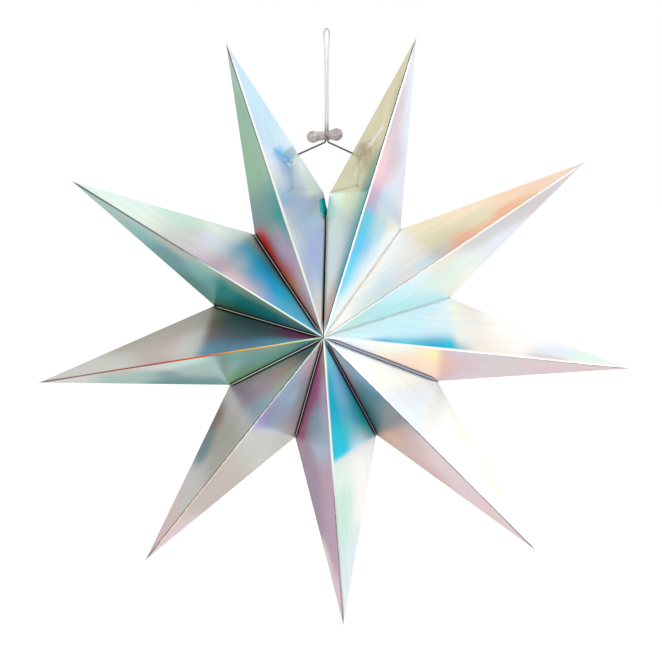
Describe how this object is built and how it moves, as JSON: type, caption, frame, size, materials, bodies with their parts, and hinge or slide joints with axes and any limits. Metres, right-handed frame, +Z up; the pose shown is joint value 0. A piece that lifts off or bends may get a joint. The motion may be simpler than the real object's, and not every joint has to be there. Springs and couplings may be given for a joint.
{
  "type": "folded paper star",
  "caption": "Hanging lantern-type star of folded iridescent foil card, hollow points with a raised hub on both faces, on a thin clear cord loop with a sliding clear stop.",
  "frame": {"origin": "inside top of the cord's hanging loop, where a hook or nail holds it", "axes": "+Z up, -Y the front face of the star, +X to the right as the front is seen; the star's flat middle plane is XZ"},
  "size_m": [0.5846, 0.196, 0.5934],
  "materials": {
    "foil_card": "iridescent metallic foil on card",
    "clear_cord": "clear, glossy",
    "clear_plastic": "clear moulded plastic"
  },
  "bodies": {
    "star": {"point_1": "foil_card", "point_2": "foil_card", "point_3": "foil_card", "point_4": "foil_card", "point_5": "foil_card", "point_6": "foil_card", "point_7": "foil_card", "point_8": "foil_card", "point_9": "foil_card", "cord": "clear_cord", "knot_left": "clear_cord", "knot_right": "clear_cord"},
    "stop": {"cord_stop": "clear_plastic"}
  },
  "joints": [
    {"name": "stop_slide", "type": "slide", "parent": "star", "child": "stop", "axis": [0, 0, 1], "range_m": [0, 0.045]}
  ]
}
